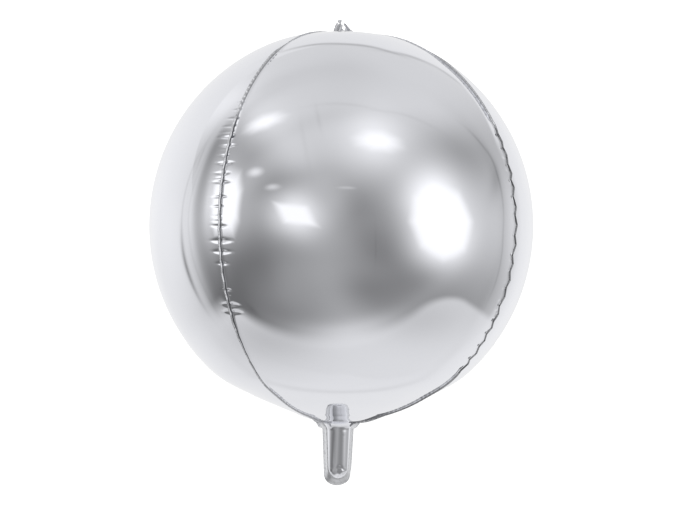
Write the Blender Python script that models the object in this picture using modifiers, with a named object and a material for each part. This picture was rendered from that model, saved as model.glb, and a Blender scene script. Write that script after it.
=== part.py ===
"""Round foil balloon: four welded gores, a crown of weld ends and a neck closed by a flat weld.

Metres, +Z up. The origin is the centre of the ball. The front gore faces -Y, the four welds run from pole
to pole halfway between the axes, and the neck's own weld lies in the XZ plane.
"""

import math

import bmesh
import bpy
from mathutils import Vector

# The ball, measured over the film.
BALL_RADIUS = 0.200
POLE_HEIGHT = 0.204
CROWN_RADIUS = 0.012
# Above the neck the film lies flatter than a ball would. Degrees of latitude where this starts, is full, is
# still full and ends, and how much it takes off the ball's depth.
FLAT_ZONE = (-47, -60, -73, -82)
FLAT_DEPTH = 0.0031
NECK_RING = 0.0267  # where the ball's film turns down into the neck

# Sheet and weld. The real film is some 0.04 mm thick, and this is the thinnest sheet that is kept solid.
FILM = 0.0012
WELD_THICKNESS = 0.001
# Latitude in degrees, and how far a weld stands out of the ball there. It folds down where the film shrinks.
WELD_WIDTHS = (
    (-90, 0.0022), (-72, 0.0022), (-62, 0.0034), (-48, 0.0036), (-38, 0.0020),
    (20, 0.0020), (29, 0.0044), (52, 0.0046), (65, 0.0018), (90, 0.0016),
)
GAP = 0.0003

# The neck, from the ring where it leaves the ball down to its round end.
NECK_FLARE = 0.012  # height of the turn from the ball into the neck
NECK_TOP_HALF = (0.0140, 0.0095)  # half width and half depth of the film under the flare
NECK_LOW_HALF = (0.0100, 0.0080)  # the same where the round end starts
NECK_STRAIGHT = 0.040
NECK_END = 0.0145  # height of the round end
NECK_FILM_END = 0.7  # share of the round end's height that the films cover, above the weld that closes it
NECK_WELD = 0.0035
NECK_DRAW = 0.060  # distance from the axis at which the ball's welds start to swing to the neck's sides
NECK_SWING = math.radians(30)

# The crown: four weld ends that stand up out of a small disc.
SPIKE_HEIGHT = 0.0130
SPIKE_FOOT = 0.0075
SPIKE_TOP = 0.0012
SPIKE_LEAN = math.radians(18)

GORE_COLUMNS, GORE_ROWS = 12, 20
NECK_COLUMNS, FLARE_ROWS, STRAIGHT_ROWS, END_ROWS = 12, 4, 4, 4
DISC_SIDES = 48

GORES = {"gore_front": -90, "gore_right": 0, "gore_back": 90, "gore_left": 180}
FRONT_AND_BACK = ("gore_front", "gore_back")
SEAMS = {
    "seam_front_left": ("gore_front", -1),
    "seam_front_right": ("gore_front", 1),
    "seam_back_right": ("gore_back", -1),
    "seam_back_left": ("gore_back", 1),
}


def clear_scene():
    for thing in list(bpy.data.objects):
        bpy.data.objects.remove(thing, do_unlink=True)


def new_collection(name):
    group = bpy.data.collections.new(name)
    bpy.context.scene.collection.children.link(group)
    return group


def foil(name, shade, roughness):
    """Metallised film: a bright metal whose welds are a little duller than its panels."""
    material = bpy.data.materials.new(name)
    material.use_nodes = True
    shader = material.node_tree.nodes["Principled BSDF"]
    shader.inputs["Base Color"].default_value = (shade, shade, shade * 1.01, 1)
    shader.inputs["Metallic"].default_value = 1.0
    shader.inputs["Roughness"].default_value = roughness
    return material


def finish(mesh_work, name, material, group):
    """Turns the bmesh into a named object, shaded smooth."""
    mesh = bpy.data.meshes.new(name)
    mesh_work.to_mesh(mesh)
    mesh_work.free()
    mesh.shade_smooth()
    thing = bpy.data.objects.new(name, mesh)
    thing.data.materials.append(material)
    group.objects.link(thing)
    return thing


def surface(columns, rows, place):
    """An open sheet: a grid whose points are placed by their share across and along it."""
    work = bmesh.new()
    bmesh.ops.create_grid(work, x_segments=columns, y_segments=rows, size=0.5)
    for vertex in work.verts:
        vertex.co = place(vertex.co.x + 0.5, vertex.co.y + 0.5)
    return work


def face_out(work, centre):
    """Turns the sheet so that its faces look away from the centre."""
    work.normal_update()
    looking = sum((face.calc_center_median() - centre).dot(face.normal) for face in work.faces)
    if looking < 0:
        bmesh.ops.reverse_faces(work, faces=work.faces)


def thicken(thing, thickness, offset):
    sheet = thing.modifiers.new("film", "SOLIDIFY")
    sheet.thickness = thickness
    sheet.offset = offset
    sheet.use_even_offset = False


def smooth_step(share):
    share = min(max(share, 0.0), 1.0)
    return share * share * (3 - 2 * share)


def meridian(latitude):
    """Distance from the axis and height of the ball's film."""
    degrees = math.degrees(latitude)
    start, full, still_full, end = FLAT_ZONE
    flat = smooth_step((degrees - start) / (full - start)) * smooth_step((degrees - end) / (still_full - end))
    return BALL_RADIUS * math.cos(latitude), POLE_HEIGHT * math.sin(latitude) + FLAT_DEPTH * flat


def weld_width(latitude):
    """How far a weld stands out at this latitude."""
    degrees = math.degrees(latitude)
    for (low, low_width), (high, high_width) in zip(WELD_WIDTHS, WELD_WIDTHS[1:]):
        if degrees <= high:
            return low_width + (high_width - low_width) * smooth_step((degrees - low) / (high - low))
    return WELD_WIDTHS[-1][1]


def gore_half_angle(latitude, is_front_or_back):
    """Half the angle that a gore takes. Next to the neck the front and back gores widen to meet its sides."""
    radius, height = meridian(latitude)
    near_neck = (NECK_DRAW - radius) / (NECK_DRAW - NECK_RING)
    swing = NECK_SWING * smooth_step(near_neck) if height < 0 else 0.0
    return math.radians(45) + (swing if is_front_or_back else -swing)


def film_point(latitude, angle):
    radius, height = meridian(latitude)
    return Vector((radius * math.cos(angle), radius * math.sin(angle), height))


def clear_of(radius):
    """The latitude at which a gore or a weld ends, so that it stays clear of a round piece."""
    return math.acos((radius + 3 * GAP) / BALL_RADIUS)


def latitude_at(share):
    """Runs from the crown's rim, at share 0, down to the neck's ring."""
    top, bottom = clear_of(CROWN_RADIUS), -clear_of(NECK_RING)
    return top + (bottom - top) * share


def gore(name, material, group):
    middle = math.radians(GORES[name])

    def place(across_share, down_share):
        latitude = latitude_at(down_share)
        half = gore_half_angle(latitude, name in FRONT_AND_BACK)
        half -= math.asin((WELD_THICKNESS / 2 + 2 * GAP) / meridian(latitude)[0])
        return film_point(latitude, middle + (2 * across_share - 1) * half)

    work = surface(GORE_COLUMNS, GORE_ROWS, place)
    face_out(work, Vector((0, 0, 0)))
    thicken(finish(work, name, material, group), FILM, -1)


def seam(name, material, group):
    """A weld: the two gores' edges pressed together, standing out of the ball."""
    gore_name, side = SEAMS[name]
    middle = math.radians(GORES[gore_name])
    small = math.radians(0.5)

    def on_seam(latitude):
        return film_point(latitude, middle + side * gore_half_angle(latitude, True))

    def place(out_share, down_share):
        latitude = latitude_at(down_share)
        point = on_seam(latitude)
        along = on_seam(latitude + small) - on_seam(latitude - small)
        sideways = Vector((-point.y, point.x, 0)).normalized()
        outward = sideways.cross(along).normalized()
        return point + outward * (-FILM + (FILM + weld_width(latitude)) * out_share)

    work = surface(1, GORE_ROWS, place)
    thicken(finish(work, name, material, group), WELD_THICKNESS, 0)


def neck_profile(share):
    """The neck's film edge at +X, from the ring at share 0 to the bottom at share 1.

    Gives the half width, the half depth, the height and the outward direction in the XZ plane.
    """
    rows = FLARE_ROWS + STRAIGHT_ROWS + END_ROWS
    row = share * rows
    ring_height = -meridian(math.acos(NECK_RING / BALL_RADIUS))[1]
    straight_top = ring_height - NECK_FLARE
    end_top = straight_top - NECK_STRAIGHT
    if row <= FLARE_ROWS:
        turn = math.pi / 2 * row / FLARE_ROWS
        halves = [NECK_RING - (NECK_RING - half) * math.sin(turn) for half in NECK_TOP_HALF]
        height = ring_height - NECK_FLARE * (1 - math.cos(turn))
        return *halves, height, Vector((math.sin(turn), 0, -math.cos(turn)))
    if row <= FLARE_ROWS + STRAIGHT_ROWS:
        down = (row - FLARE_ROWS) / STRAIGHT_ROWS
        halves = [top + (low - top) * down for top, low in zip(NECK_TOP_HALF, NECK_LOW_HALF)]
        return *halves, straight_top - NECK_STRAIGHT * down, Vector((1, 0, 0))
    turn = math.pi / 2 * (row - FLARE_ROWS - STRAIGHT_ROWS) / END_ROWS
    halves = [half * math.cos(turn) for half in NECK_LOW_HALF]
    return *halves, end_top - NECK_END * math.sin(turn), Vector((math.cos(turn), 0, -math.sin(turn)))


def neck_film(name, facing, material, group):
    """One of the neck's two films, bulging towards -Y (facing -1) or +Y (facing 1)."""
    rows = FLARE_ROWS + STRAIGHT_ROWS + END_ROWS
    lowest = (FLARE_ROWS + STRAIGHT_ROWS + NECK_FILM_END * END_ROWS) / rows
    edge = WELD_THICKNESS / 2 + 2 * GAP

    def place(across_share, down_share):
        half_width, half_depth, height, _ = neck_profile(lowest * down_share)
        angle = math.pi * across_share
        bulge = edge + (half_depth - edge) * math.sin(angle)
        return Vector((half_width * math.cos(angle), facing * bulge, height))

    work = surface(NECK_COLUMNS, rows, place)
    face_out(work, Vector((0, 0, -POLE_HEIGHT - NECK_STRAIGHT)))
    thicken(finish(work, name, material, group), FILM, -1)


def neck_weld(name, material, group):
    """The flat strip that closes the neck down one side, round its end and up the other side."""
    half_rows = FLARE_ROWS + STRAIGHT_ROWS + END_ROWS

    def place(out_share, round_share):
        side = 1 if round_share <= 0.5 else -1
        half_width, _, height, outward = neck_profile(1 - abs(2 * round_share - 1))
        point = Vector((half_width, 0, height)) + outward * (GAP + NECK_WELD * out_share)
        return Vector((side * point.x, 0, point.z))

    work = surface(1, 2 * half_rows, place)
    thicken(finish(work, name, material, group), WELD_THICKNESS, 0)


def crown_spike(name, angle, material, cutters):
    """One weld end: a thin blade that narrows to its top and leans out from the axis."""
    work = bmesh.new()
    bmesh.ops.create_cube(work, size=1)
    for vertex in work.verts:
        is_top = vertex.co.z > 0
        width = SPIKE_TOP if is_top else SPIKE_FOOT
        out = SPIKE_FOOT / 2 + math.tan(SPIKE_LEAN) * SPIKE_HEIGHT * is_top
        height = SPIKE_HEIGHT if is_top else -FILM / 2
        vertex.co = Vector((out + vertex.co.x * width, vertex.co.y * WELD_THICKNESS, height))
    spike = finish(work, name, material, cutters)
    spike.location.z = POLE_HEIGHT
    spike.rotation_euler.z = angle
    spike.hide_render = True
    spike.display_type = "WIRE"
    return spike


def crown(name, material, group, cutters):
    """The disc where the four gores meet, with the ends of the four welds standing on it."""
    work = bmesh.new()
    bmesh.ops.create_cone(
        work, cap_ends=True, segments=DISC_SIDES, radius1=CROWN_RADIUS, radius2=CROWN_RADIUS, depth=FILM
    )
    for vertex in work.verts:
        vertex.co.z += POLE_HEIGHT - FILM / 2
    disc = finish(work, name, material, group)
    for number in range(4):
        spike = crown_spike(f"spike_{number}", math.radians(45 + 90 * number), material, cutters)
        join = disc.modifiers.new(spike.name, "BOOLEAN")
        join.operation = "UNION"
        join.solver = "EXACT"
        join.object = spike


def main():
    clear_scene()
    balloon = new_collection("round_foil_balloon")
    cutters = new_collection("helpers")
    for name in GORES:
        gore(name, foil(name, 0.86, 0.05), balloon)
    for name in SEAMS:
        seam(name, foil(name, 0.74, 0.22), balloon)
    crown("crown", foil("crown", 0.70, 0.25), balloon, cutters)
    neck_film("neck_front", -1, foil("neck_front", 0.82, 0.08), balloon)
    neck_film("neck_back", 1, foil("neck_back", 0.82, 0.08), balloon)
    neck_weld("neck_weld", foil("neck_weld", 0.72, 0.22), balloon)


main()
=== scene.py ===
"""Looks of the round foil balloon: stretched mirror film, puckered welds, crown, neck, studio and camera.

Metres, +Z up, origin at the centre of the ball. Lengths ending in _MM are millimetres, because the film's
creases are laid out along its own surface, which is measured in millimetres from its welds.
"""

import bisect
import math
import random

import bmesh
import bpy
from mathutils import Matrix, Vector, noise


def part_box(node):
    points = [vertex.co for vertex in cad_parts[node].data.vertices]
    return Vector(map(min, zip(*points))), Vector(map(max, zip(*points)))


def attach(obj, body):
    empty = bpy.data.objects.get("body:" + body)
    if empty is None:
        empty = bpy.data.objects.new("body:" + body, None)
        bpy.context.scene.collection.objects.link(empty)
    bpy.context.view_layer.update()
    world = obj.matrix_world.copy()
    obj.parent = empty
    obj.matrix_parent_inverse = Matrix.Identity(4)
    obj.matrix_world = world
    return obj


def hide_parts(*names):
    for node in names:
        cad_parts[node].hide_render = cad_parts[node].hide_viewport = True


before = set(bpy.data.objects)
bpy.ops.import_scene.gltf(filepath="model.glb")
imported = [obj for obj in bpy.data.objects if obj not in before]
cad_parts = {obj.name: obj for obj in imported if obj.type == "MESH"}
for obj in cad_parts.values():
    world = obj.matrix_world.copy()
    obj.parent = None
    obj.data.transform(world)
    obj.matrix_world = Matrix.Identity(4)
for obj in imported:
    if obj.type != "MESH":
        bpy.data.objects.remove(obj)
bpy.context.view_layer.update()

MM = 0.001

# The ball and the neck, read from the frame.
BALL_RADIUS = -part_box("gore_front")[0].y
POLE_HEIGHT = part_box("crown")[1].z - 13 * MM
NECK_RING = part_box("neck_weld")[1].x
NECK_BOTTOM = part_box("neck_weld")[0].z
# Above the neck the film lies flatter than a ball would: degrees of latitude where this starts, is full, is
# still full and ends, and how much it takes off the ball's depth.
FLAT_ZONE = (-47, -60, -73, -82)
FLAT_DEPTH = 3.1 * MM
LOW_FLATNESS = 0.10
TOP_FLAT_ZONE = (66, 84)  # and under the crown: degrees where this starts and is full
TOP_FLAT_DEPTH = 2.2 * MM

# Film and welds.
FILM_MM = 0.3
WELD_SHEET_MM = 0.3
# Latitude in degrees, and how far a weld stands out there. Where the film shrinks, it folds down.
WELD_WIDTHS_MM = (
    (-90, 1.4), (-78, 1.9), (-70, 1.5), (-48, 1.7), (-38, 1.4),
    (20, 1.5), (29, 1.9), (52, 2.0), (60, 0.6), (90, 0.35),
)
CRIMP_MM = 5.5  # the hot jaw's crimp along a weld that stands free
CRIMP_LEAN = math.radians(3)
NECK_WELD_MM = 7.6

# The neck under its ring: half widths and half depths of the film at its top and where its round end starts.
NECK_TOP_HALF = (12.2 * MM, 12.8 * MM)
NECK_LOW_HALF = (10.4 * MM, 7.4 * MM)
NECK_FLARE = 12.0 * MM
NECK_END = 12.0 * MM
NECK_DRAW = 33.0 * MM
NECK_BOXINESS = 0.04  # 0 gives the neck an elliptic section; more flattens its front and its sides

# Puckers across a weld: half width in mm, slope of their sides as depth over half width, and how far they run
# into the film. Places run in mm along the weld from the equator, up positive. Short ones stand at the kinks of
# a weld's zigzag, and the long ones stand further apart.
LONG_STEP_MM = (7.0, 15.0)
LONG_HALF_WIDTH_MM = (1.2, 1.8)
LONG_REACH_MM = (9.0, 14.0)
SHORT_HALF_WIDTH_MM = (0.7, 1.0)
SHORT_REACH_MM = (2.5, 5.5)
PUCKER_SLOPE = 0.58
LONG_LIMIT_MM = 118
FOLD_ZONE = (-46, 28)  # degrees of latitude where the weld is folded down in a zigzag
WELD_RISE_MM = 0.5
GROOVE_REACH_MM = 9
# The puckers that the photograph shows: place, half width, reach to the right and to the left, all in mm, and
# how steep they are.
FRONT_LEFT_PUCKERS_MM = (
    (-86, 1.8, 11, 10, 0.7), (-78.5, 1.9, 10, 9, 0.8), (-70, 0.9, 4, 4, 0.5), (-64, 1.3, 6, 7, 1.0),
    (-39.5, 1.4, 7, 9, 1.0), (-28.8, 1.7, 12, 12, 1.05), (-18.6, 1.8, 12, 13, 1.05), (-5.8, 1.15, 7, 12, 1.1),
    (-1, 0.8, 2, 12, 0.7), (3.6, 0.8, 1, 12, 0.7), (12.3, 1.1, 3, 13, 1.1), (21.2, 1.1, 7, 13, 1.1),
    (34.7, 1.3, 8, 13, 1.2), (38.5, 0.8, 2, 12, 0.7), (42.5, 1.1, 6, 13, 1.1), (52, 1.3, 9, 12, 1.15),
    (59.6, 1.2, 2, 10, 1.0), (64.5, 0.8, 2, 11, 0.5), (69.4, 1.3, 8, 12, 1.1), (78.3, 1.6, 3, 15, 1.15),
    (83.5, 1.1, 1, 14, 0.6), (89.5, 1.2, 1, 14, 0.7), (97.4, 1.2, 1.5, 12, 0.8), (107.5, 1.1, 1, 11, 0.6),
    (116, 1.0, 1, 9, 0.5),
)

# Rows of the film: degrees of latitude from, to and how many; and columns by their distance from a weld.
ROW_BANDS = ((90, 62, 56), (62, -62, 600))
LOW_ROWS = 84
EDGE_STEPS_MM = (
    0, 0.4, 0.9, 1.6, 2.5, 3.6, 5, 6.8, 9, 12, 16, 22, 32, 44, 57, 70, 83, 96, 109, 121, 133, 145, 157,
)
NECK_ROWS = 90
NECK_SHARE_LIMIT = 0.985

# The photograph's frame and the camera that took it.
FRAME_WIDTH_PX, FRAME_HEIGHT_PX = 680, 510
BALL_CENTRE_PX = (341.2, 226.4)
FOCAL_PX = 1224
CAMERA_DISTANCE = 6.44 * 0.200
CAMERA_AZIMUTH = math.radians(-11.5)
CAMERA_ELEVATION = math.radians(-1.6)
CAMERA_ROLL = math.radians(0.73)
FLOOR_DROP = 1.5


def smooth_step(share):
    share = min(max(share, 0.0), 1.0)
    return share * share * (3 - 2 * share)


def linear(hex_colour):
    """An sRGB hex colour as a linear RGBA tuple."""
    parts = [int(hex_colour[i:i + 2], 16) / 255 for i in (1, 3, 5)]
    return tuple(c / 12.92 if c <= 0.04045 else ((c + 0.055) / 1.055) ** 2.4 for c in parts) + (1.0,)


# Shape of the film

def meridian(latitude):
    """Distance from the axis and height of the ball's film."""
    degrees = math.degrees(latitude)
    start, full, still_full, end = FLAT_ZONE
    flat = smooth_step((degrees - start) / (full - start)) * smooth_step((degrees - end) / (still_full - end))
    start, full = TOP_FLAT_ZONE
    drop = TOP_FLAT_DEPTH * smooth_step((degrees - start) / (full - start))
    return BALL_RADIUS * math.cos(latitude), POLE_HEIGHT * math.sin(latitude) + FLAT_DEPTH * flat - drop


def weld_width(latitude):
    """How far a weld stands out of the ball at this latitude, in mm."""
    degrees = math.degrees(latitude)
    for (low, low_width), (high, high_width) in zip(WELD_WIDTHS_MM, WELD_WIDTHS_MM[1:]):
        if degrees <= high:
            return low_width + (high_width - low_width) * smooth_step((degrees - low) / (high - low))
    return WELD_WIDTHS_MM[-1][1]


RING_LATITUDE = -math.acos(NECK_RING / BALL_RADIUS)
RING_HEIGHT = meridian(RING_LATITUDE)[1]
NECK_TOP_HEIGHT = RING_HEIGHT - NECK_FLARE
NECK_END_HEIGHT = NECK_BOTTOM + NECK_WELD_MM * MM + NECK_END


def hermite(start, end, start_pull, end_pull, share):
    s2, s3 = share * share, share ** 3
    return ((2 * s3 - 3 * s2 + 1) * start + (s3 - 2 * s2 + share) * start_pull
            + (3 * s2 - 2 * s3) * end + (s3 - s2) * end_pull)


def neck_section(share):
    """Half width, half depth, and heights at the sides and in the middle of the neck's film.

    share runs from 0 at its ring to 1 at its bottom. The first third turns out of the ball, gently at the sides
    and sharply in the middle; the second runs straight and the last closes the round end.
    """
    third = 3 * share
    if third <= 1:
        height = hermite(RING_HEIGHT, NECK_TOP_HEIGHT, -2.4 * MM, -16 * MM, third)
        middle_height = hermite(RING_HEIGHT, NECK_TOP_HEIGHT, -4 * MM, -24 * MM, third)
        half_width = hermite(NECK_RING, NECK_TOP_HALF[0], -20 * MM, -1.0 * MM, third)
        half_depth = hermite(NECK_RING, NECK_TOP_HALF[1], -29 * MM, -0.5 * MM, third)
        return half_width, half_depth, height, middle_height
    if third <= 2:
        height = NECK_TOP_HEIGHT + (NECK_END_HEIGHT - NECK_TOP_HEIGHT) * (third - 1)
        halves = [top + (low - top) * (third - 1) for top, low in zip(NECK_TOP_HALF, NECK_LOW_HALF)]
    else:
        turn = math.pi / 2 * (third - 2)
        height = NECK_END_HEIGHT - NECK_END * math.sin(turn)
        halves = [half * math.cos(turn) for half in NECK_LOW_HALF]
    return halves[0], halves[1], height, height


def half_angle(latitude, is_wide):
    """Half the angle that a gore takes; the front and back ones widen to the neck's sides next to it."""
    radius, height = meridian(latitude)
    near_neck = (NECK_DRAW - radius) / (NECK_DRAW - NECK_RING)
    swing = math.radians(45) * smooth_step(near_neck) if height < 0 else 0.0
    return math.radians(45) + (swing if is_wide else -swing)


def track_value(track, place):
    """Value of a track of (place, value) knots at a place, straight from knot to knot and 0 beyond its ends."""
    index = bisect.bisect(track, (place,))
    if index == 0 or index == len(track):
        return 0.0
    (start, low), (end, high) = track[index - 1:index + 1]
    return low + (high - low) * (place - start) / (end - start)


class Weld:
    """Zigzag, lean and puckers of one weld. Places run in mm along it from the equator, up positive."""

    def __init__(self, seed, step_mm, swing_mm, leans, short_scale=0, reach_scales=(0, 0), long_slope=1.0,
                 extra_widths=(), grooves=(0, 0), seen_puckers=()):
        """leans are in degrees: least and most in the zigzag, above it and below it. extra_widths are knots.

        reach_scales and grooves are the film's, for the gore that has the weld at across -1 and the one at 1.
        seen_puckers are rows of the photograph's puckers; without them they are drawn.
        """
        draw = random.Random(seed)
        low, high = (math.radians(d) * BALL_RADIUS / MM for d in FOLD_ZONE)
        least, most, upper, lower = (math.radians(d) for d in leans)
        middle, vary = (least + most) / 2, (most - least) / 2
        self.folded = (low, high)
        self.grooves = grooves
        self.extra_width = [(math.radians(d) * BALL_RADIUS / MM, width) for d, width in extra_widths]
        self.kinks = [(low, 0.0)]
        self.leans = [(low - 115, 0.0), (low - 90, lower), (low - 30, lower)]
        self.puckers = []
        place, side = low, 1
        while place < high:
            place += draw.uniform(*step_mm)
            side = -side
            self.kinks.append((place, side * swing_mm * draw.uniform(0.4, 1.0)))
            self.leans.append((place, middle + side * vary * draw.uniform(0.4, 1.0)))
            if short_scale:
                self.add_pucker(draw, place, SHORT_HALF_WIDTH_MM, SHORT_REACH_MM, (short_scale,) * 2, short_scale)
        self.kinks.append((place + 5, 0.0))
        self.leans += [(place + 14, upper), (place + 90, upper), (place + 130, 0.0)]
        place = LONG_LIMIT_MM if seen_puckers else -LONG_LIMIT_MM
        while place < LONG_LIMIT_MM:
            place += draw.uniform(*LONG_STEP_MM)
            end_fade = smooth_step(1.6 - 1.2 * abs(place) / LONG_LIMIT_MM)
            scales = [scale * end_fade for scale in reach_scales]
            self.add_pucker(draw, place, LONG_HALF_WIDTH_MM, LONG_REACH_MM, scales, long_slope)
        for place, width, right, left, slope in seen_puckers:
            self.puckers.append((place, width, (right, left), draw.uniform(-0.06, 0.06), slope))
        self.puckers.sort()
        self.places = [pucker[0] for pucker in self.puckers]

    def add_pucker(self, draw, place, half_width, reach, scales, slope):
        """One valley for each side of the weld: its place, half width, reach to both sides, lean and slope."""
        width = draw.uniform(*half_width)
        reaches = tuple(draw.uniform(*reach) * scale + 0.5 for scale in scales)
        self.puckers.append((place, width, reaches, draw.uniform(-0.12, 0.12), slope * draw.uniform(0.8, 1.15)))

    def sink(self, place, away, side):
        """How far the puckers pull the film in at this place, away from the weld on one side of it, in mm."""
        total = self.grooves[side] * math.exp(-away / GROOVE_REACH_MM) * smooth_step(2.2 - abs(place) / 60)
        index = bisect.bisect(self.places, place - 7)
        while index < len(self.places) and self.places[index] < place + 7:
            middle, width, reaches, lean, slope = self.puckers[index]
            share = away / reaches[side]
            if share < 1:
                taper = 1 - 0.35 * share
                offset = (place - middle - lean * away) / (width * taper)
                deep = width * PUCKER_SLOPE * slope * taper * (1 - share * share)
                total += deep * math.exp(-offset * offset)
            index += 1
        return total

    def swing(self, place):
        """How far the weld line swings to the side, from one kink of its zigzag to the next."""
        return track_value(self.kinks, place)

    def lean(self, place):
        """Angle by which the weld is folded down, either way, from standing straight out of the ball."""
        low, high = self.folded
        past = max(low - 25 - place, place - high - 5, 0)
        return track_value(self.leans, place) + CRIMP_LEAN * min(past / 10, 1) * math.sin(math.tau * place / CRIMP_MM)


SEAM_ANGLES = {"front_right": -45, "back_right": 45, "back_left": 135, "front_left": 225}
WELDS = {
    "front_right": Weld(3, (6, 10), 3.0, (25, 50, 8, 14), reach_scales=(0.3, 0.55), long_slope=0.22),
    "back_right": Weld(1, (4, 7), 0.6, (15, 50, 0, 0), 0.8, (0.8, 0.8)),
    "back_left": Weld(2, (4, 7), 0.6, (-50, -15, 0, 0), 0.8, (0.8, 0.8)),
    "front_left": Weld(4, (5, 9), 0.25, (-27, -17, -20, -10), grooves=(0, 0.9), seen_puckers=FRONT_LEFT_PUCKERS_MM,
                       extra_widths=((-38, 0), (-28, 1.1), (34, 1.2), (44, 0.8), (52, 0.8), (60, 0))),
}


def ball_point(latitude, angle, across):
    """A point of the ball's film. Low down a gore lies flatter between its welds, but not where the neck starts."""
    radius, height = meridian(latitude)
    degrees = math.degrees(latitude)
    low = smooth_step((-52 - degrees) / 22) * smooth_step((degrees + 82) / 16)
    radius *= 1 - LOW_FLATNESS * low * (1 - across * across)
    return Vector((radius * math.cos(angle), radius * math.sin(angle), height))


def ball_normal(latitude, angle):
    """Outward direction of the smooth ball."""
    (r0, h0), (r1, h1) = meridian(latitude - 0.001), meridian(latitude + 0.001)
    return Vector(((h1 - h0) * math.cos(angle), (h1 - h0) * math.sin(angle), r0 - r1)).normalized()


def pulled_film(latitude, angle, across, half, seams):
    """A point of the film with its puckers. seams are the names of the welds at across -1 and 1."""
    point = ball_point(latitude, angle, across)
    normal = ball_normal(latitude, angle)
    sideways = Vector((-math.sin(angle), math.cos(angle), 0))
    radius = meridian(latitude)[0]
    place = latitude * BALL_RADIUS / MM
    for index, (side, name) in enumerate(zip((-1, 1), seams)):
        away = (1 - side * across) * half * radius / MM
        if away > 16:
            continue
        weld = WELDS[name]
        rise = WELD_RISE_MM * math.exp(-away) - weld.sink(place, away, index)
        point += (normal * rise + sideways * weld.swing(place) * math.exp(-away / 3)) * MM
    return point


GORES = {
    "front_film": (-90, ("front_left", "front_right"), ("gore_front", "neck_front")),
    "right_film": (0, ("front_right", "back_right"), ("gore_right",)),
    "back_film": (90, ("back_right", "back_left"), ("gore_back", "neck_back")),
    "left_film": (180, ("back_left", "front_left"), ("gore_left",)),
}
COLUMNS = 2 * (len(EDGE_STEPS_MM) - 1)


def band_rows():
    """Latitudes of the film's rows, from the top down to the neck's ring."""
    bands = ROW_BANDS + ((ROW_BANDS[-1][1], math.degrees(RING_LATITUDE), LOW_ROWS),)
    rows = [math.radians(high + (low - high) * i / count) for high, low, count in bands for i in range(count)]
    return rows + [RING_LATITUDE]


def across_at(column):
    """Place of a column, from -1 at one weld to 1 at the other."""
    from_edge = EDGE_STEPS_MM[min(column, COLUMNS - column)] / EDGE_STEPS_MM[-1]
    return math.copysign(1 - from_edge, column - COLUMNS / 2)


# Creases pressed into the neck's front and back: ends as (x, z) in mm, depth and half width.
NECK_CREASES_MM = (
    ((0.2, -254), (-2.2, -264), 0.8, 0.9), ((0.4, -254.5), (3.2, -264), 0.7, 0.8),
    ((-2.6, -217.5), (2.6, -218.5), 0.12, 0.6), ((-2.2, -221), (2.2, -221.6), 0.10, 0.5),
    ((-2.4, -224), (1.6, -224.6), 0.10, 0.5), ((7.5, -250), (5.5, -264), 0.35, 0.8),
    ((-7, -262), (-5, -255), 0.5, 1.1), ((-5, -255), (0, -251.5), 0.5, 1.1), ((5, -255), (0, -251.5), 0.5, 1.1),
    ((7, -262), (5, -255), 0.5, 1.1), ((-6.5, -218), (-5.5, -248), 0.3, 0.8),
)


def neck_crease(x_mm, z_mm):
    """How far the neck's film is pressed in, in mm."""
    total = 0.0
    here = Vector((x_mm, z_mm))
    for start, end, depth, half_width in NECK_CREASES_MM:
        start, run = Vector(start), Vector(end) - Vector(start)
        share = min(max((here - start).dot(run) / run.length_squared, 0), 1)
        away = (here - start - run * share).length / half_width
        if away < 3:
            total += depth * (0.35 + 0.65 * share) * math.exp(-away * away)
    return total


def neck_point(share, across, facing):
    """A point of the neck's front or back film, with the creases round its end."""
    half_width, half_depth, height, middle_height = neck_section(share)
    angle = math.pi / 2 * across
    power = 1 - NECK_BOXINESS * smooth_step(4 * share - 0.4)
    x = math.copysign(abs(math.sin(angle)) ** power, -facing * across)
    y = facing * math.cos(angle) ** power
    height += (middle_height - height) * math.cos(angle) ** 2
    point = Vector((half_width * x, half_depth * y, height))
    crumple = noise.noise(point / (4.5 * MM)) * smooth_step((-point.z / MM - 256) / 8)
    dent = (neck_crease(point.x / MM, point.z / MM) + 0.9 * crumple) * math.cos(angle) * MM
    point.y -= math.copysign(min(dent, abs(point.y) * 0.6), facing)
    return point


def film(name, material):
    middle, seams, nodes = GORES[name]
    is_wide = len(nodes) > 1
    middle = math.radians(middle)
    facing = round(math.sin(middle))
    latitudes = band_rows()
    rows = len(latitudes) - 1 + (NECK_ROWS if is_wide else 0)
    work = bmesh.new()
    bmesh.ops.create_grid(work, x_segments=COLUMNS, y_segments=rows, size=0.5, calc_uvs=True)
    for vertex in work.verts:
        across = across_at(round((vertex.co.x + 0.5) * COLUMNS))
        row = round((vertex.co.y + 0.5) * rows)
        if row < len(latitudes):
            latitude = latitudes[row]
            half = half_angle(latitude, is_wide)
            vertex.co = pulled_film(latitude, middle + across * half, across, half, seams)
        else:
            share = (row - len(latitudes) + 1) / NECK_ROWS * NECK_SHARE_LIMIT
            vertex.co = neck_point(share, across, facing)
    bmesh.ops.remove_doubles(work, verts=work.verts, dist=0.00001)
    work.normal_update()
    looking = sum(face.calc_center_median().dot(face.normal) for face in work.faces)
    if looking < 0:
        bmesh.ops.reverse_faces(work, faces=work.faces)
    piece = finish_piece(work, name, material)
    thicken(piece, FILM_MM * MM, -1)
    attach(piece, "root")
    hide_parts(*nodes)
    return piece


def finish_piece(work, name, material):
    mesh = bpy.data.meshes.new(name)
    work.to_mesh(mesh)
    work.free()
    mesh.shade_smooth()
    piece = bpy.data.objects.new(name, mesh)
    piece.data.materials.append(material)
    bpy.context.scene.collection.objects.link(piece)
    return piece


def thicken(piece, thickness, offset):
    sheet = piece.modifiers.new("film", "SOLIDIFY")
    sheet.thickness = thickness
    sheet.offset = offset


WELD_COLUMNS = 6
WELD_ROOT_MM = 1.0
WELD_SINK_SHARE = 0.35  # how far a weld follows the puckers down
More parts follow.
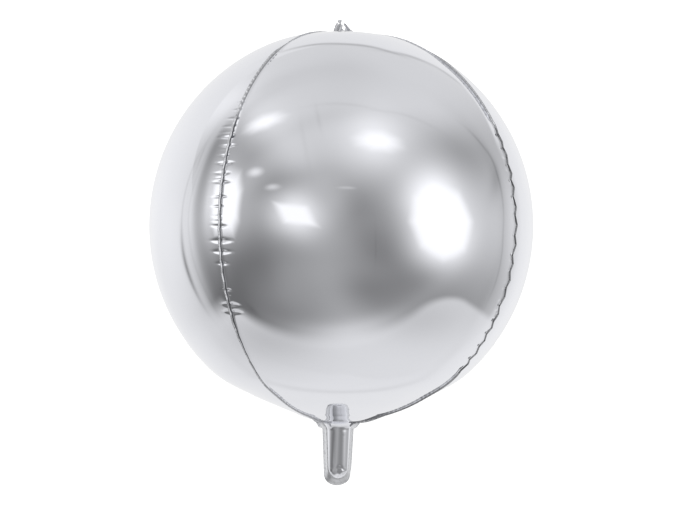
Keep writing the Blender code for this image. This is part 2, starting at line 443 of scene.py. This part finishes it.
# Over the collar between the ball and the neck a weld runs on this far, and thins out.
COLLAR_ROWS = 24
COLLAR_SHARE = 0.24
COLLAR_LENGTH_MM = 16


def set_uv(work, place_of):
    """Writes where each corner lies on its strip: share of its width, and metres along it."""
    layer = work.loops.layers.uv.verify()
    for face in work.faces:
        for loop in face.loops:
            loop[layer].uv = place_of[loop.vert]


def collar_point(share, angle, facing):
    """A point of the collar in line with a weld of the ball."""
    return neck_point(share, (1 if math.cos(angle) > 0 else -1) * -facing * 0.5, facing)


def ball_weld(name, material):
    """The strip where two gores are pressed together, standing out of the ball or folded down in a zigzag."""
    weld = WELDS[name]
    angle = math.radians(SEAM_ANGLES[name])
    facing = -1 if "front" in name else 1
    sideways = Vector((-math.sin(angle), math.cos(angle), 0))
    latitudes = [latitude for latitude in band_rows() if BALL_RADIUS * math.cos(latitude) > 5 * MM]
    rows = len(latitudes) - 1 + COLLAR_ROWS
    work = bmesh.new()
    bmesh.ops.create_grid(work, x_segments=WELD_COLUMNS, y_segments=rows, size=0.5, calc_uvs=True)
    place_of = {}
    for vertex in work.verts:
        out = vertex.co.x + 0.5
        row = round((vertex.co.y + 0.5) * rows)
        latitude = latitudes[min(row, len(latitudes) - 1)]
        point, normal = ball_point(latitude, angle, 1), ball_normal(latitude, angle)
        place = latitude * BALL_RADIUS / MM
        width = weld_width(latitude) + track_value(weld.extra_width, place)
        if row >= len(latitudes):
            past = (row - len(latitudes) + 1) / COLLAR_ROWS
            point, below = (collar_point(share * COLLAR_SHARE, angle, facing) for share in (past, past + 0.05))
            turned = smooth_step(past * 1.5)
            normal = (normal * (1 - turned) + (below - point).cross(sideways).normalized() * turned).normalized()
            place -= past * COLLAR_LENGTH_MM
            width *= 1 - 0.8 * past
        sink = (weld.sink(place, 0, 0) + weld.sink(place, 0, 1)) * WELD_SINK_SHARE / 2
        root = normal * (WELD_RISE_MM - sink) + sideways * weld.swing(place)
        height = (width + WELD_ROOT_MM) * out
        lean = weld.lean(place) * smooth_step(0.3 + 0.9 * out)
        rise = normal * (height * math.cos(lean) - WELD_ROOT_MM) + sideways * height * math.sin(lean)
        vertex.co = point + (root + rise) * MM
        place_of[vertex] = (out, place * MM)
    set_uv(work, place_of)
    piece = finish_piece(work, "weld_" + name, material)
    thicken(piece, WELD_SHEET_MM * MM, 0)
    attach(piece, "root")
    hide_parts("seam_" + name)
    return piece


# The neck's weld on its left and right: width in mm, and angle by which it curls to the back.
NECK_WELD_SIDES = {-1: (8.6, math.radians(64)), 1: (8.0, math.radians(47))}


def neck_weld(material):
    """The strip down the neck's sides and round its end, curling to the back."""
    rows = 2 * NECK_ROWS
    work = bmesh.new()
    bmesh.ops.create_grid(work, x_segments=WELD_COLUMNS, y_segments=rows, size=0.5, calc_uvs=True)
    place_of = {}
    for vertex in work.verts:
        out, round_share = vertex.co.x + 0.5, vertex.co.y + 0.5
        side = 1 if round_share <= 0.5 else -1
        share = 1 - abs(2 * round_share - 1)
        half_width, _, height, _ = neck_section(share)
        before = neck_section(max(share - 0.01, 0))
        after = neck_section(min(share + 0.01, 1))
        along = Vector((after[0] - before[0], 0, after[2] - before[2])).normalized()
        outward = Vector((-along.z, 0, along.x))
        left, right = NECK_WELD_SIDES[-1], NECK_WELD_SIDES[1]
        mix = smooth_step(0.5 + 2.2 * (0.5 - round_share))
        width, curl = (a + (b - a) * mix for a, b in zip(left, right))
        top = 1 - smooth_step(share * 4)
        width += (2.2 - width) * top
        curl *= smooth_step(share * 3.2) * (1 - 0.6 * smooth_step((share - 0.72) * 6))
        strip = (width + WELD_ROOT_MM) * out
        turn = curl * smooth_step(0.4 + out)
        step = outward * (strip * math.cos(turn) - WELD_ROOT_MM) + Vector((0, strip * math.sin(turn), 0))
        point = Vector((half_width, 0, height)) + step * MM
        vertex.co = Vector((side * point.x, point.y, point.z))
        place_of[vertex] = (out, round_share * 0.15)
    set_uv(work, place_of)
    piece = finish_piece(work, "neck_rim", material)
    thicken(piece, WELD_SHEET_MM * MM, 0)
    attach(piece, "root")
    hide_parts("neck_weld")
    return piece


# Each weld end on the crown: rows of its height and its inner and outer end, in mm from the ball's axis.
CROWN_ENDS_MM = {
    "front_left": ((-0.8, 0, 14), (2.5, 0.5, 13.5), (5, 1.2, 12.5), (7.5, 2.2, 11), (9.5, 3.6, 9.8),
                   (10.8, 5.2, 8.2), (12, 4.2, 9.2), (13.2, 3.7, 9.7), (14.2, 4.2, 9.2), (14.7, 5.9, 7.5)),
    "back_left": ((-0.8, 0, 15), (2.5, 2, 14), (5, 4.5, 13), (8, 5.5, 12), (11, 6.3, 11), (13.4, 7.5, 9.6)),
    "front_right": ((-0.8, 2, 14), (2.5, 3.5, 12.5), (4.8, 3.6, 8.6), (7, 2.2, 6.6), (9.5, 0.6, 4.4),
                    (11.3, -0.5, 2.4), (12.2, -0.5, 0.9)),
    "back_right": ((-0.8, 0, 14), (3, 0.5, 12), (5.5, 1, 9), (7.5, 2, 6)),
}
CROWN_COLUMNS, CROWN_ROWS = 24, 28


def crown_end(name, material):
    """A weld's crumpled end, folded up over the top of the ball."""
    outline = CROWN_ENDS_MM[name]
    angle = math.radians(SEAM_ANGLES[name])
    draw = random.Random(name)
    folds = [(draw.uniform(0.5, 1.3), draw.uniform(0, 6.3), draw.uniform(0.25, 0.6)) for _ in range(4)]
    out_way = Vector((math.cos(angle), math.sin(angle), 0))
    sideways = Vector((-out_way.y, out_way.x, 0))
    bottom, top = outline[0][0], outline[-1][0]
    work = bmesh.new()
    bmesh.ops.create_grid(work, x_segments=CROWN_COLUMNS, y_segments=CROWN_ROWS, size=0.5, calc_uvs=True)
    place_of = {}
    for vertex in work.verts:
        along, up = vertex.co.x + 0.5, vertex.co.y + 0.5
        height = bottom + (top - bottom) * up
        inner = track_value([(row[0] - 0.001, row[1]) for row in outline] + [(top + 1, outline[-1][1])], height)
        outer = track_value([(row[0] - 0.001, row[2]) for row in outline] + [(top + 1, outline[-1][2])], height)
        distance = inner + (outer - inner) * along
        bend = sum(size * math.sin(wave * (distance + 0.6 * height) + shift) for wave, shift, size in folds)
        bend *= smooth_step(up * 3)
        foot = meridian(math.acos(min(abs(distance) * MM / BALL_RADIUS, 1)))[1] / MM
        vertex.co = (out_way * distance + sideways * bend + Vector((0, 0, foot + height))) * MM
        place_of[vertex] = (along, height * MM)
    set_uv(work, place_of)
    piece = finish_piece(work, "crown_end_" + name, material)
    thicken(piece, WELD_SHEET_MM * MM, 0)
    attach(piece, "root")
    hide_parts("crown")
    return piece


# Materials

def node(tree, kind, settings=None, inputs=None):
    """Adds a node, sets its settings, and links or sets its inputs."""
    made = tree.nodes.new(kind)
    for key, value in (settings or {}).items():
        setattr(made, key, value)
    for key, value in (inputs or {}).items():
        if isinstance(value, bpy.types.NodeSocket):
            tree.links.new(value, made.inputs[key])
        else:
            made.inputs[key].default_value = value
    return made


def maths(tree, operation, *values):
    """A Math node's output for sockets or numbers."""
    return node(tree, "ShaderNodeMath", {"operation": operation}, dict(enumerate(values))).outputs[0]


def fade(tree, value, full, none):
    """1 where value is at full or beyond, 0 at none, and smooth between."""
    return node(tree, "ShaderNodeMapRange", {"interpolation_type": "SMOOTHSTEP"},
                {"Value": value, "From Min": none, "From Max": full}).outputs["Result"]


def new_material(name):
    """A material with a metal's shader; returns it, its node tree and the shader."""
    material = bpy.data.materials.new(name)
    material.use_nodes = True
    shader = material.node_tree.nodes["Principled BSDF"]
    shader.inputs["Metallic"].default_value = 1.0
    return material, material.node_tree, shader


def stretched_film():
    """Nylon film with a vapour-deposited aluminium layer, drawn smooth by the gas inside: a near mirror."""
    material, tree, shader = new_material("metallised_nylon_film_stretched")
    place = node(tree, "ShaderNodeTexCoord").outputs["Object"]
    cloud = node(tree, "ShaderNodeTexNoise", inputs={
        "Vector": place, "Scale": 1 / (60 * MM), "Detail": 3.0, "Roughness": 0.5})
    tint = node(tree, "ShaderNodeValToRGB", inputs={"Fac": cloud.outputs["Fac"]})
    tint.color_ramp.elements[0].color = linear("#F3F4F9")
    tint.color_ramp.elements[1].color = linear("#F7F8FD")
    tree.links.new(tint.outputs["Color"], shader.inputs["Base Color"])
    haze = node(tree, "ShaderNodeMapRange", inputs={
        "Value": cloud.outputs["Fac"], "To Min": 0.035, "To Max": 0.075})
    tree.links.new(haze.outputs["Result"], shader.inputs["Roughness"])
    sag = node(tree, "ShaderNodeTexNoise", inputs={
        "Vector": place, "Scale": 1 / (45 * MM), "Detail": 1.0, "Roughness": 0.4})
    relief = node(tree, "ShaderNodeBump", inputs={
        "Height": sag.outputs["Fac"], "Strength": 1.0, "Distance": 0.12 * MM})
    tree.links.new(relief.outputs["Normal"], shader.inputs["Normal"])
    return material


def pressed_film(name, light_hex, dark_hex, root, free_root, border, rim, speckle, haze_range, free_shade=1.0, fold_shade=1.0):
    """Two films pressed together by a hot jaw: duller, mottled, dark along its root in painted shade, and faintly
    dark at its rim.

    free_shade and fold_shade are painted shade: they darken it where it stands free, and where it is folded down in
    its own shade.
    """
    material, tree, shader = new_material(name)
    place = node(tree, "ShaderNodeTexCoord")
    grain = node(tree, "ShaderNodeTexNoise", inputs={
        "Vector": place.outputs["Object"], "Scale": 1 / (2.4 * MM), "Detail": 2.0, "Roughness": 0.5})
    jaw = node(tree, "ShaderNodeTexVoronoi", {"feature": "F1"}, {
        "Vector": place.outputs["Object"], "Scale": 1 / (1.2 * MM), "Randomness": 0.35})
    across, along, _ = node(tree, "ShaderNodeSeparateXYZ", inputs={"Vector": place.outputs["UV"]}).outputs
    low, high = (math.radians(d) * BALL_RADIUS for d in FOLD_ZONE)
    folded = maths(tree, "MULTIPLY", fade(tree, along, low + 6 * MM, low - 6 * MM),
                   fade(tree, along, high - 6 * MM, high + 6 * MM))
    # Strength of the painted shade along the root, where the weld meets the film: free_root where it stands free, 0.9
    # where it is folded down.
    painted_root_shade = maths(tree, "MULTIPLY_ADD", folded, 0.9 - free_root, free_root)
    # Darkest of the painted root shade and the darker rim.
    edge = maths(tree, "MAXIMUM", maths(tree, "MULTIPLY", fade(tree, across, root, root + 0.18), painted_root_shade),
                 maths(tree, "MULTIPLY", fade(tree, across, 0.97, 1 - border), rim))
    speck = node(tree, "ShaderNodeMapRange", {"interpolation_type": "SMOOTHSTEP"}, {
        "Value": grain.outputs["Fac"], "From Min": 0.52, "From Max": 0.66, "To Min": 0.0, "To Max": speckle})
    dark = maths(tree, "MAXIMUM", edge, speck.outputs["Result"])
    tint = node(tree, "ShaderNodeValToRGB", inputs={"Fac": dark})
    tint.color_ramp.elements[0].color = linear(light_hex)
    tint.color_ramp.elements[1].color = linear(dark_hex)
    # Painted shade over the whole strip: scaled by free_shade where it stands free and by fold_shade where it is
    # folded down in its own shade.
    shade = node(tree, "ShaderNodeVectorMath", {"operation": "SCALE"}, {
        0: tint.outputs["Color"],
        "Scale": maths(tree, "MULTIPLY_ADD", folded, fold_shade - free_shade, free_shade)})
    tree.links.new(shade.outputs["Vector"], shader.inputs["Base Color"])
    haze = node(tree, "ShaderNodeMapRange", inputs={
        "Value": grain.outputs["Fac"], "To Min": haze_range[0], "To Max": haze_range[1]})
    tree.links.new(haze.outputs["Result"], shader.inputs["Roughness"])
    relief = node(tree, "ShaderNodeBump", inputs={
        "Height": maths(tree, "MULTIPLY_ADD", jaw.outputs["Distance"], 0.35, grain.outputs["Fac"]),
        "Strength": 1.0, "Distance": 0.03 * MM})
    tree.links.new(relief.outputs["Normal"], shader.inputs["Normal"])
    return material


# Studio

# Soft patches of light and shade in the room: azimuth right of the camera and elevation, half width and half
# height, and roll, all in degrees, then how much light each adds. The first lie behind the paper, the others over it.
ROOM_PATCHES = (
    (24.58, 46.17, 14.56, 16.69, -6.21, 0.297),  # glow round the oblong softbox
    (-84.26, 45.47, 60, 13.2, 2.41, 0.382),  # light ceiling on the left
    (-74.62, 38.86, 29.25, 13.76, -4.22, -0.5),  # darker upper left wall
    (92.31, 30.85, 60, 14.63, -11.64, -0.319),  # darker upper right wall
    (29.21, -5.43, 55.64, 20.31, -28.52, -0.349),  # dark room on the right
    (43, -28.38, 60, 9.28, 22.12, -0.056),  # darker low right
    (-65, -23, 24.05, 54.19, -50, -0.37),  # dark room low on the left
    (-3.77, -34.38, 12.53, 16.77, 28.49, 0.113),  # floor in front, a little lighter
    (-25.75, 4.8, 13.79, 11.11, -14.38, 0.61),  # glow round the window
    (60.37, -8.87, 19.52, 12.28, 2.06, 0.741),  # glow round the octagonal softbox
    (122.24, 6.98, 11.55, 53.54, 26.4, 0.099),  # side wall on the right
    (-91.95, 22, 8.34, 38.73, 7.03, -0.25),  # dark gap at the left
    (-80, 8, 6, 13, 0, 0.22),  # glow beside the strip softbox
    (-33.63, 22.61, 27.6, 7.09, 21.07, -0.095),  # darker band under the ceiling
    (54.27, 12.2, 17.41, 15.94, 33.34, 0.7),  # glow above the octagonal softbox
    (-37.8, 52.07, 60, 6.34, 44.1, -0.059),  # ceiling edge
)
OVER_PATCHES = (
    (-65, -55.14, 60, 18.96, -4.92, -0.227),  # paper shaded at the lower left
    (45.68, -44.72, 60, 13.97, -4, -0.187),  # paper shaded at the lower right
    (5.74, -61.77, 32.53, 6.77, 14.13, 0.216),  # paper lit under the balloon
    (-135, -3.57, 60, 34.75, -12.89, 0.166),  # paper lit on the left
    (7.28, 92, 11.85, 60, -0.52, -0.022),  # ceiling overhead
    (108.5, 9.95, 5.01, 29.79, 0.43, -0.07),  # shade of the sweep's right edge
    (105, 15.79, 9, 3.43, 29.89, -0.086),  # stand on the right
    (-106.44, -14.52, 1.76, 11.27, -1.96, -0.393),  # stand on the left
    (-102.4, 25, 0.6, 5.64, 16.24, -0.078),  # pole on the left
    (-97.41, 9.91, 3.1, 32.93, 2.89, 0.149),  # light gap on the left
    (142, -8, 30, 45, 0, 0.09),  # paper lit on the right
    (179, -58, 34, 4.5, 0, -0.075),  # fold of the paper under the balloon
)
# Thin things seen in the film, as lines from one direction to another: azimuth and elevation of both ends, half
# width, all in degrees, then how much light each adds.
ROOM_LINES = (
    (-33.5, 66.8, 40, 63, 1.0, -0.05),  # rail under the ceiling
    (40, 63, 75.9, 47.2, 1.0, -0.05),  # rail under the ceiling, its right part
    (-38.6, 56.1, -22.3, 33.9, 1.2, -0.035),  # cable
    (-30.1, 65.1, -18.4, 53, 0.9, -0.05),  # hook
    (105.7, 36.1, 111, 23, 1.0, -0.10),  # stand's arm on the right
    (111, 24, 109.1, 12.8, 1.0, -0.10),  # paper's right edge, from its top down
    (109.1, 14, 107.4, -1.8, 0.7, -0.10),
    (107.4, 0, 109.1, -10, 0.7, -0.10),
    (109.1, -8.2, 111.5, -20.4, 0.7, -0.08),
    (19.2, -3, 20.4, -19.3, 0.4, -0.03),  # camera's stand
    (-69, -38, -66, -44, 1.5, -0.03),  # box on the floor at the left
    (-105.0, 26, -105.6, 0, 0.7, -0.10),  # flag's edge on the left
    (-105.6, 2, -107.1, -22, 0.7, -0.08),
    (-98, 26, -99, 0, 0.8, -0.07),  # flag's inner edge
    (-99, 2, -97.5, -26, 0.8, -0.07),
    (-159.7, 47.7, -178.7, 54.2, 1.5, -0.28),  # roll that the paper behind hangs from
    (-178.7, 54.2, 159.1, 52.6, 1.5, -0.28),
    (159.1, 52.6, 151.1, 39.2, 1.5, -0.26),
    (151.1, 39.2, 146.9, 34.4, 1.3, -0.18),
)

# Lights and what shines: azimuth, elevation, half width, half height, roll, all in degrees, then how far they
# are sheared, their corner, 0 an ellipse, 1 square, 1.41 an octagon, how soft they end, and how bright they are.
LAMPS = (
    (59.73, 2.2, 18.73, 15.59, -17.5, 0, 1.41, 0.23, 1.11),  # octagonal softbox
    (-25.89, 4.66, 8.99, 4.51, -5.8, -0.78, 1, 0.4, 1.08),  # window seen from the side
    (26.54, 45.36, 8.56, 4.32, -8.1, -0.2, 1.4, 0.9, 1.15),  # oblong softbox above
    (-67.94, 49.93, 7.3, 3.58, 35.7, 0.3, 1.4, 0.9, 1.13),  # oblong softbox above on the left
    (-68.7, 9.4, 8.1, 13.2, -4.2, -0.1, 1.5, 0.37, 1.1),  # strip softbox on the left
    (-54.13, 25.05, 3.5, 1.84, 10.9, 0, 0, 0.95, 0.85),  # ceiling lamp
    (-40.91, 18.41, 3.35, 1.25, 6, 0, 0, 0.93, 0.69),  # ceiling lamp further off
    (2.59, 19.33, 4.76, 0.67, -0.4, 0, 0, 0.62, 0.56),  # ceiling lamp furthest off
)


def direction(azimuth, elevation):
    """Unit vector towards a light, by degrees right of the camera's side and above the horizon."""
    a, e = math.radians(azimuth), math.radians(elevation)
    return Vector((math.sin(a) * math.cos(e), -math.cos(a) * math.cos(e), math.sin(e)))


def light_axes(azimuth, elevation, roll):
    """A light's direction and its own right and up."""
    centre = direction(azimuth, elevation)
    right = Vector((math.cos(math.radians(azimuth)), math.sin(math.radians(azimuth)), 0))
    up = centre.cross(right)
    turn = math.radians(roll)
    return centre, right * math.cos(turn) + up * math.sin(turn), up * math.cos(turn) - right * math.sin(turn)


def product(tree, first, *others):
    for other in others:
        first = maths(tree, "MULTIPLY", first, other)
    return first


def dot(tree, ray, vector):
    return node(tree, "ShaderNodeVectorMath", {"operation": "DOT_PRODUCT"},
                {0: ray, 1: tuple(vector)}).outputs["Value"]


def bell(tree, x, y):
    """1 in the middle, falling off smoothly, and nearly gone where x or y reaches 2."""
    square = maths(tree, "MULTIPLY_ADD", x, x, maths(tree, "MULTIPLY", y, y))
    return maths(tree, "EXPONENT", maths(tree, "MULTIPLY", square, -1))


def add_patch(tree, light, ray, centre, right, up, width, height, amount):
    """Adds an amount of light round a direction, with its half width and half height in degrees."""
    x = dot(tree, ray, right / math.sin(math.radians(width)))
    y = dot(tree, ray, up / math.sin(math.radians(height)))
    mask = product(tree, bell(tree, x, y), fade(tree, dot(tree, ray, centre), 0.3, 0.0))
    return maths(tree, "MULTIPLY_ADD", mask, amount, light)


def add_patches(tree, light, ray, patches):
    for azimuth, elevation, width, height, roll, amount in patches:
        centre, right, up = light_axes(azimuth, elevation, roll)
        light = add_patch(tree, light, ray, centre, right, up, width, height, amount)
    return light


def add_lines(tree, light, ray, lines):
    for azimuth, elevation, end_azimuth, end_elevation, half_width, amount in lines:
        start, end = direction(azimuth, elevation), direction(end_azimuth, end_elevation)
        centre, along = (start + end).normalized(), (end - start).normalized()
        half_length = math.degrees(start.angle(end)) * 0.6
        light = add_patch(tree, light, ray, centre, along, centre.cross(along), half_length, half_width, amount)
    return light


def lamp_mask(tree, ray, azimuth, elevation, width, height, roll, slant, corner, soft):
    """Mask of a light's face as it would look from the balloon."""
    centre, right, up = light_axes(azimuth, elevation, roll)
    ahead = dot(tree, ray, centre)
    near = maths(tree, "MAXIMUM", ahead, 0.05)
    x = maths(tree, "DIVIDE", dot(tree, ray, (right - up * slant) / math.tan(math.radians(width))), near)
    y = maths(tree, "DIVIDE", dot(tree, ray, up / math.tan(math.radians(height))), near)
    if corner:
        x, y = maths(tree, "ABSOLUTE", x), maths(tree, "ABSOLUTE", y)
        size = maths(tree, "MAXIMUM", x, y)
        if corner > 1:
            size = maths(tree, "MAXIMUM", size, maths(tree, "DIVIDE", maths(tree, "ADD", x, y), corner))
    else:
        size = maths(tree, "SQRT", maths(tree, "MULTIPLY_ADD", x, x, maths(tree, "MULTIPLY", y, y)))
    return product(tree, fade(tree, size, 1 - soft, 1 + soft), fade(tree, ahead, 0.3, 0.1))


def blend(tree, below, mask, value):
    """Lays a brightness over another by its mask."""
    mix = node(tree, "ShaderNodeMix", {"data_type": "FLOAT"})
    for name, part in (("Factor", mask), ("A", below), ("B", value)):
        if isinstance(part, bpy.types.NodeSocket):
            tree.links.new(part, mix.inputs[name])
        else:
            mix.inputs[name].default_value = part
    return mix.outputs["Result"]


def lay_table(tree, light, split):
    """The white paper under the balloon, as far as its front edge and its round right corner."""
    x, y, z = split.outputs
    front, slope, right, left, corner, soft = -0.431, -0.138, 1.779, -1.471, 0.83, 0.11
    down = maths(tree, "MAXIMUM", maths(tree, "MULTIPLY", z, -1), 0.02)
    table_x, table_y = maths(tree, "DIVIDE", x, down), maths(tree, "DIVIDE", y, down)
    past_right = maths(tree, "MAXIMUM", maths(tree, "SUBTRACT", table_x, right - corner), 0)
    edge = maths(tree, "MULTIPLY_ADD", table_x, slope, front + corner)
    past_front = maths(tree, "MAXIMUM", maths(tree, "SUBTRACT", edge, table_y), 0)
    square = maths(tree, "MULTIPLY_ADD", past_right, past_right, maths(tree, "MULTIPLY", past_front, past_front))
    outside = maths(tree, "SUBTRACT", maths(tree, "SQRT", square), corner)
    mask = product(tree, fade(tree, outside, -soft, soft), fade(tree, table_x, left + 0.3, left - 0.3),
                   fade(tree, z, -0.12, -0.05))
    return blend(tree, light, mask, 0.75)


def hang_wall(tree, light, split):
    """The white paper behind the balloon, lower on its right."""
    x, y, z = split.outputs
    back = maths(tree, "MAXIMUM", y, 0.02)
    wall_x, wall_z = maths(tree, "DIVIDE", x, back), maths(tree, "DIVIDE", z, back)
    sides = product(tree, fade(tree, wall_x, 1.03, 1.63), fade(tree, wall_x, 1.34, -9.97), fade(tree, y, 0.1, 0.0))
    drop = maths(tree, "MAXIMUM", maths(tree, "SUBTRACT", wall_x, 0.4), 0.0)
    top = maths(tree, "MAXIMUM", maths(tree, "MULTIPLY_ADD", drop, -2.5, 1.42), 0.8)
    above = maths(tree, "SUBTRACT", wall_z, top)
    return blend(tree, light, product(tree, sides, fade(tree, above, -0.04, 0.04)), 0.779)


def studio_world():
    """A grey studio with white paper under and behind the balloon, and softboxes in front of it."""
    world = bpy.data.worlds.new("studio")
    bpy.context.scene.world = world
    world.use_nodes = True
    tree = world.node_tree
    shell = tree.nodes["Background"]
    raw = node(tree, "ShaderNodeTexCoord").outputs["Generated"]
    ray = node(tree, "ShaderNodeVectorRotate", {"rotation_type": "Z_AXIS"},
               {"Vector": raw, "Angle": -CAMERA_AZIMUTH}).outputs["Vector"]
    split = node(tree, "ShaderNodeSeparateXYZ", inputs={"Vector": ray})
    # The room: grey, lighter towards the ceiling and a little darker low down.
    light = blend(tree, 0.633, fade(tree, split.outputs[2], 0.6, 0.252), 0.681)
    light = blend(tree, light, fade(tree, split.outputs[2], -0.364, 0.072), 0.515)
    light = add_patches(tree, light, ray, ROOM_PATCHES)
    light = lay_table(tree, light, split)
    light = hang_wall(tree, light, split)
    light = add_patches(tree, light, ray, OVER_PATCHES)
    light = add_lines(tree, light, ray, ROOM_LINES)
    for *place, strength in LAMPS:
        light = blend(tree, light, lamp_mask(tree, ray, *place), strength)
    # Straight to the camera, and to what is matt, the studio is plain white.
    path = node(tree, "ShaderNodeLightPath")
    plain = maths(tree, "MAXIMUM", path.outputs["Is Camera Ray"], path.outputs["Is Diffuse Ray"])
    light = blend(tree, maths(tree, "MAXIMUM", light, 0.0), plain, 1.4)
    tree.links.new(light, shell.inputs["Strength"])
    shell.inputs["Color"].default_value = (1, 1, 1, 1)


def pale_floor():
    work = bmesh.new()
    bmesh.ops.create_grid(work, x_segments=1, y_segments=1, size=20)
    bmesh.ops.translate(work, verts=work.verts, vec=(0, 0, -FLOOR_DROP))
    paint = bpy.data.materials.new("white_paper")
    paint.use_nodes = True
    shader = paint.node_tree.nodes["Principled BSDF"]
    shader.inputs["Base Color"].default_value = linear("#F4F4F4")
    shader.inputs["Roughness"].default_value = 0.9
    floor = finish_piece(work, "floor", paint)
    floor.visible_glossy = False


def photo_camera():
    """Stands where the photograph's camera stood, and looks so that the ball's centre falls on its pixel."""
    data = bpy.data.cameras.new("camera")
    data.sensor_width = 36
    data.lens = FOCAL_PX / FRAME_WIDTH_PX * data.sensor_width
    camera = bpy.data.objects.new("camera", data)
    bpy.context.scene.collection.objects.link(camera)
    away = Vector((math.sin(CAMERA_AZIMUTH) * math.cos(CAMERA_ELEVATION),
                   -math.cos(CAMERA_AZIMUTH) * math.cos(CAMERA_ELEVATION), math.sin(CAMERA_ELEVATION)))
    turn = (-away).to_track_quat("-Z", "Y").to_matrix() @ Matrix.Rotation(CAMERA_ROLL, 3, "Z")
    right_px = BALL_CENTRE_PX[0] - FRAME_WIDTH_PX / 2
    down_px = BALL_CENTRE_PX[1] - FRAME_HEIGHT_PX / 2
    turn = turn @ Matrix.Rotation(math.atan(right_px / FOCAL_PX), 3, "Y")
    turn = turn @ Matrix.Rotation(math.atan(down_px / FOCAL_PX), 3, "X")
    camera.matrix_world = Matrix.Translation(away * CAMERA_DISTANCE) @ turn.to_4x4()
    bpy.context.scene.camera = camera


def main():
    mirror = stretched_film()
    # The front left weld: pale, with painted shade along its root, and a little painted shade all over that is more
    # where it is folded down.
    rope = pressed_film("metallised_nylon_film_heat_welded", "#F4F5F9", "#46484E", 0.46, 0.38, 0.15, 0.1, 0.4,
                        (0.2, 0.34), 0.95, 0.86)
    # The other welds: the same pressed film, darkened by a painted shade where they lie folded down, with painted
    # shade along the root.
    folded = pressed_film("metallised_nylon_film_heat_welded_folded_painted_shade", "#F2F3F7", "#5A5C62", 0.38, 0.45, 0.2, 0.5, 0.4,
                          (0.2, 0.34), 0.95, 0.36)
    welded = pressed_film("metallised_nylon_film_heat_welded_neck", "#F6F7FA", "#A4A6AB", -0.2, 0.0, 0.10, 0.8, 0.25,
                          (0.3, 0.45))
    crumpled = pressed_film("metallised_nylon_film_heat_welded_crumpled", "#F0F1F5", "#6E7076", -0.2, 0.0, 0.3,
                            0.5, 0.5, (0.25, 0.4), 0.9, 0.9)
    for name in SEAM_ANGLES:
        ball_weld(name, rope if name == "front_left" else folded)
    for name in SEAM_ANGLES:
        crown_end(name, crumpled)
    neck_weld(welded)
    for name, (_, _, nodes) in GORES.items():
        sheet = film(name, mirror)
    pale_floor()
    photo_camera()
    studio_world()
    bpy.context.scene.view_settings.view_transform = "Standard"


main()
